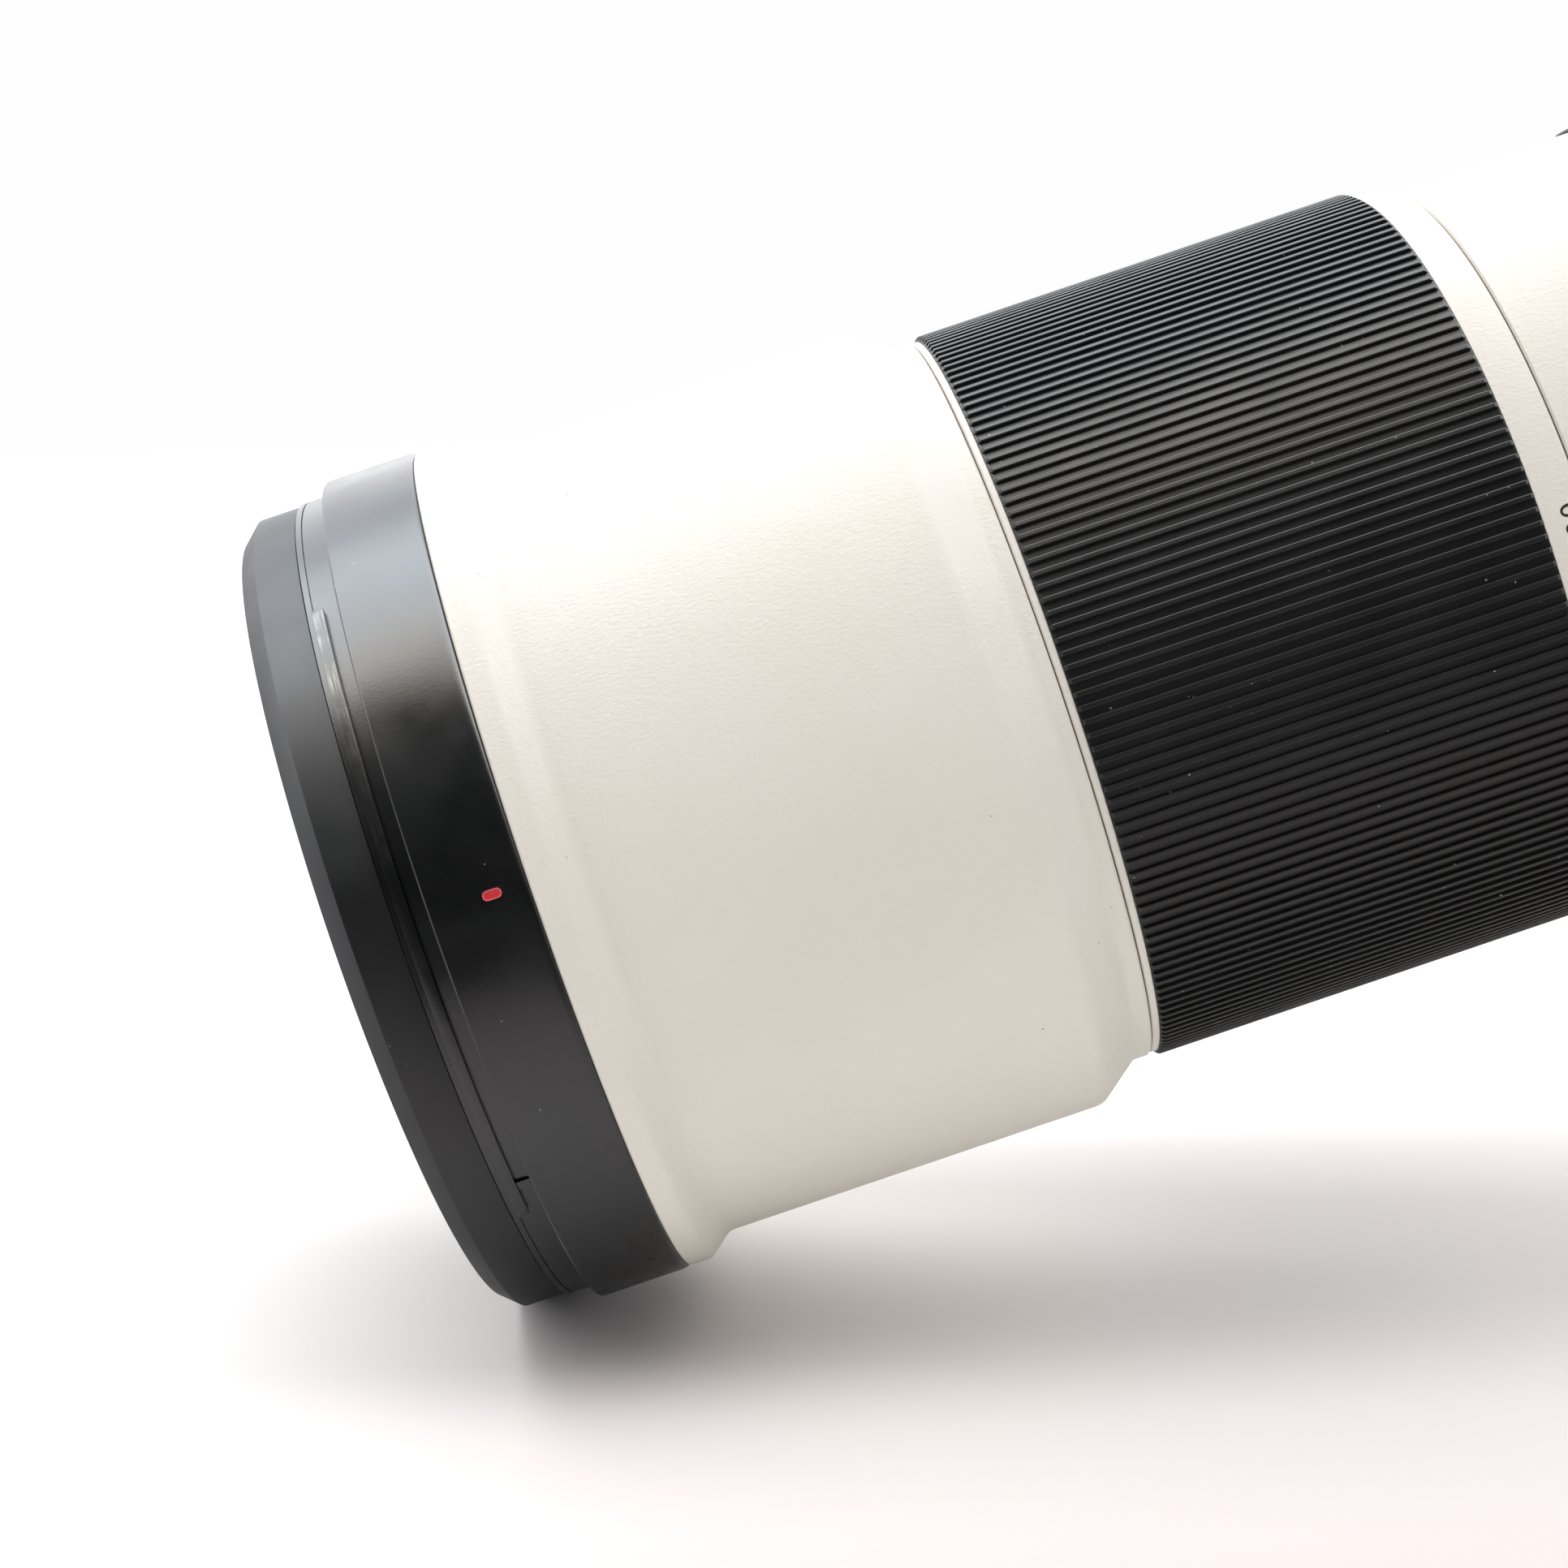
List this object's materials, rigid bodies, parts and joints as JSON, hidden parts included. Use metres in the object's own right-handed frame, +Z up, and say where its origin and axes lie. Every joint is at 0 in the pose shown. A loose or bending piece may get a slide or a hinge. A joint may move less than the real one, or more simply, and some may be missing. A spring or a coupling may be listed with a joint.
{
  "type": "camera zoom lens",
  "caption": "Long white internal-zoom camera lens with ribbed zoom and focus rings, bayonet mount, switch panel, rotating tripod collar and removable foot.",
  "frame": {"origin": "centre of the camera flange face, on the optical axis", "axes": "+X along the optical axis towards the camera, so the front glass faces -X; +Z up, away from the tripod foot; the barrel lies turned in its collar with its top marks 10 degrees above -Y"},
  "size_m": [0.3243, 0.1239, 0.1618],
  "materials": {
    "white_enamel": "off-white textured enamel",
    "black_satin": "black satin anodised",
    "red_paint": "red paint fill",
    "rubber": "matt moulded rubber",
    "seal_rubber": "soft matt rubber",
    "glass": "coated optical glass",
    "anodised_black": "matt black anodised",
    "black_plastic": "matt black moulding",
    "blade_steel": "blackened thin steel",
    "steel": "plain machined steel",
    "roller_brass": "turned brass",
    "magnet": "nickel plated magnet bars",
    "mount_metal": "hard chrome plated brass",
    "contact_gold": "gold plated",
    "board_green": "green board with black chips",
    "button_grey": "dark grey moulding",
    "switch_grey": "dark grey moulding",
    "knob_black": "black anodised, knurled"
  },
  "bodies": {
    "barrel": {"filter_ring": "black_satin", "hood_bayonet_ring": "black_satin", "hood_index_mark": "red_paint", "front_bezel": "black_satin", "front_cell": "anodised_black", "front_lens_1": "glass", "front_lens_2": "glass", "front_lens_3": "glass", "front_barrel": "white_enamel", "main_tube": "anodised_black", "guide_tube": "anodised_black", "button_barrel": "white_enamel", "switch_barrel": "white_enamel", "switch_panel": "black_satin", "rear_cover": "white_enamel", "lens_mount": "mount_metal", "mount_screws": "steel", "mount_seal": "seal_rubber", "rear_baffle": "black_plastic", "contact_block": "black_plastic", "contacts": "contact_gold", "main_board": "board_green", "stabiliser_base": "anodised_black", "iris_base": "black_plastic", "iris_blades": "blade_steel", "iris_cover": "black_plastic", "focus_rods": "steel", "focus_motor": "magnet", "rear_cell": "anodised_black", "rear_lens_1": "glass", "rear_lens_2": "glass"},
    "zoom": {"zoom_ring": "white_enamel", "zoom_grip": "rubber", "zoom_key": "steel", "cam_tube": "anodised_black"},
    "variator": {"variator_cell": "anodised_black", "variator_lens": "glass", "variator_rollers": "roller_brass"},
    "compensator": {"compensator_cell": "anodised_black", "compensator_lens": "glass", "compensator_rollers": "roller_brass"},
    "stabiliser_frame": {"stabiliser_frame": "anodised_black"},
    "stabiliser_cell": {"stabiliser_cell": "anodised_black", "stabiliser_lens": "glass"},
    "focus_group": {"focus_cell": "anodised_black", "focus_lens": "glass"},
    "focus_ring": {"focus_ring": "white_enamel", "focus_grip": "rubber"},
    "hold_button_1": {"hold_button_1": "button_grey"},
    "hold_button_2": {"hold_button_2": "button_grey"},
    "hold_button_3": {"hold_button_3": "button_grey"},
    "switch_1": {"switch_1": "switch_grey"},
    "switch_2": {"switch_2": "switch_grey"},
    "switch_3": {"switch_3": "switch_grey"},
    "switch_4": {"switch_4": "switch_grey"},
    "collar": {"collar_ring": "white_enamel"},
    "collar_knob": {"collar_knob": "knob_black"},
    "foot": {"foot": "white_enamel", "foot_bushes": "steel"},
    "foot_lock_knob": {"foot_lock_knob": "knob_black"}
  },
  "joints": [
    {"name": "zoom_turn", "type": "hinge", "parent": "barrel", "child": "zoom", "pos_m": [0, 0, 0], "axis": [-1, 0, 0], "range_deg": [0, 70]},
    {"name": "variator_slide", "type": "slide", "parent": "barrel", "child": "variator", "axis": [1, 0, 0], "range_m": [0, 0.034]},
    {"name": "compensator_slide", "type": "slide", "parent": "barrel", "child": "compensator", "axis": [-1, 0, 0], "range_m": [0, 0.01]},
    {"name": "stabiliser_sideways", "type": "slide", "parent": "barrel", "child": "stabiliser_frame", "axis": [0, 0.1736, 0.9848], "range_m": [-0.0008, 0.0008], "stiffness_N_per_m": 3000},
    {"name": "stabiliser_upright", "type": "slide", "parent": "stabiliser_frame", "child": "stabiliser_cell", "axis": [0, -0.9848, 0.1736], "range_m": [-0.0008, 0.0008], "stiffness_N_per_m": 3000},
    {"name": "focus_slide", "type": "slide", "parent": "barrel", "child": "focus_group", "axis": [1, 0, 0], "range_m": [0, 0.02]},
    {"name": "focus_ring_turn", "type": "hinge", "parent": "barrel", "child": "focus_ring", "pos_m": [0, 0, 0], "axis": [1, 0, 0], "continuous": true},
    {"name": "hold_button_1_press", "type": "slide", "parent": "barrel", "child": "hold_button_1", "axis": [0, -0.1736, -0.9848], "range_m": [0, 0.0008], "stiffness_N_per_m": 1200, "springref_m": -0.0005},
    {"name": "hold_button_2_press", "type": "slide", "parent": "barrel", "child": "hold_button_2", "axis": [0, 0.9848, -0.1736], "range_m": [0, 0.0008], "stiffness_N_per_m": 1200, "springref_m": -0.0005},
    {"name": "hold_button_3_press", "type": "slide", "parent": "barrel", "child": "hold_button_3", "axis": [0, 0.1736, 0.9848], "range_m": [0, 0.0008], "stiffness_N_per_m": 1200, "springref_m": -0.0005},
    {"name": "switch_1_slide", "type": "slide", "parent": "barrel", "child": "switch_1", "axis": [1, 0, 0], "range_m": [0, 0.003]},
    {"name": "switch_2_slide", "type": "slide", "parent": "barrel", "child": "switch_2", "axis": [1, 0, 0], "range_m": [0, 0.005]},
    {"name": "switch_3_slide", "type": "slide", "parent": "barrel", "child": "switch_3", "axis": [1, 0, 0], "range_m": [0, 0.003]},
    {"name": "switch_4_slide", "type": "slide", "parent": "barrel", "child": "switch_4", "axis": [1, 0, 0], "range_m": [0, 0.005]},
    {"name": "collar_turn", "type": "hinge", "parent": "barrel", "child": "collar", "pos_m": [-0.0513, 0, 0], "axis": [1, 0, 0], "continuous": true},
    {"name": "collar_knob_turn", "type": "hinge", "parent": "collar", "child": "collar_knob", "pos_m": [-0.0513, 0.056, 0], "axis": [0, 1, 0], "range_deg": [0, 360]},
    {"name": "foot_slide", "type": "slide", "parent": "collar", "child": "foot", "axis": [1, 0, 0], "range_m": [0, 0.024]},
    {"name": "foot_lock_turn", "type": "hinge", "parent": "collar", "child": "foot_lock_knob", "pos_m": [-0.0513, -0.015, -0.0572], "axis": [0, -1, 0], "range_deg": [0, 360]}
  ],
  "couplings": [
    {"joint": "variator_slide", "follows": "zoom_turn", "m_per_rad": 0.027829},
    {"joint": "compensator_slide", "follows": "zoom_turn", "m_per_rad": 0.008185}
  ]
}
